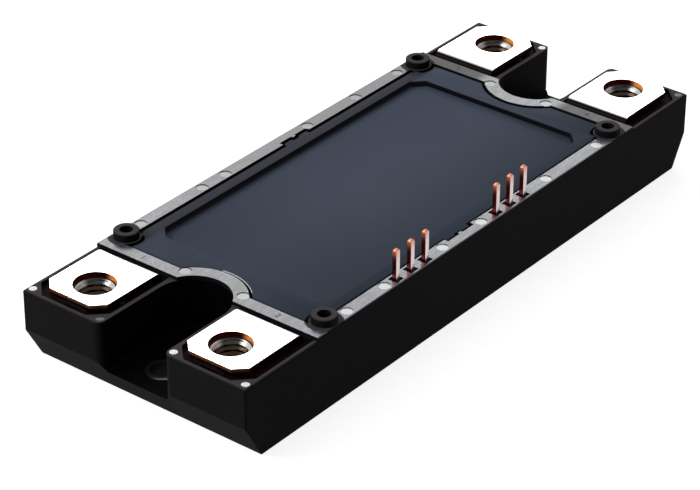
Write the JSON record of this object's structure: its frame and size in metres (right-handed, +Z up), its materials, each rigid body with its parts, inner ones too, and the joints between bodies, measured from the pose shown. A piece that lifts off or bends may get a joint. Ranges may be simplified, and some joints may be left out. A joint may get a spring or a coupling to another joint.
{
  "type": "silicon carbide mosfet module",
  "caption": "Half-bridge power module: flat moulded housing with screw terminals at both ends, signal pins along one side, standoffs for a driver board and a cooling base plate.",
  "frame": {"origin": "middle of the base plate's underside", "axes": "+X along the module to the output terminals, +Y to the long side without signal pins, +Z up out of the lid"},
  "size_m": [0.152, 0.0574, 0.0248],
  "materials": {
    "housing_plastic": "satin moulded plastic, smooth rail and fine-grained walls",
    "lid_plastic": "fine matte grain",
    "nickel_plate": "matte nickel plating",
    "terminal_metal": "bright plated top with bare cut edges",
    "nut_steel": "plated steel",
    "bushing_steel": "turned steel",
    "pin_copper": "bright copper alloy",
    "bare_copper": "bare copper",
    "solder": "dull solder",
    "ceramic": "fired ceramic",
    "die_metal": "metallised chip top",
    "aluminium_wire": "drawn aluminium",
    "chip_body": "dark chip body",
    "clear_gel": "soft clear silicone"
  },
  "bodies": {
    "root": {"base_plate": "nickel_plate", "ceramic_tiles": "ceramic", "circuit_copper": "bare_copper", "gate_resistors": "chip_body", "housing": "housing_plastic", "lid": "lid_plastic", "lower_diode_dies": "die_metal", "lower_mosfet_dies": "die_metal", "lower_ribbon_bonds": "aluminium_wire", "mounting_bushing_far": "bushing_steel", "mounting_bushing_near": "bushing_steel", "negative_nut": "nut_steel", "negative_terminal": "terminal_metal", "output_left_nut": "nut_steel", "output_left_terminal": "terminal_metal", "output_right_nut": "nut_steel", "output_right_terminal": "terminal_metal", "positive_nut": "nut_steel", "positive_terminal": "terminal_metal", "signal_pin_1": "pin_copper", "signal_pin_2": "pin_copper", "signal_pin_3": "pin_copper", "signal_pin_4": "pin_copper", "signal_pin_5": "pin_copper", "signal_pin_6": "pin_copper", "signal_wires": "aluminium_wire", "silicone_gel": "clear_gel", "solder_sheets": "solder", "thermistor": "chip_body", "tile_back_copper": "bare_copper", "tile_links": "bare_copper", "upper_diode_dies": "die_metal", "upper_mosfet_dies": "die_metal", "upper_ribbon_bonds": "aluminium_wire"}
  },
  "joints": []
}
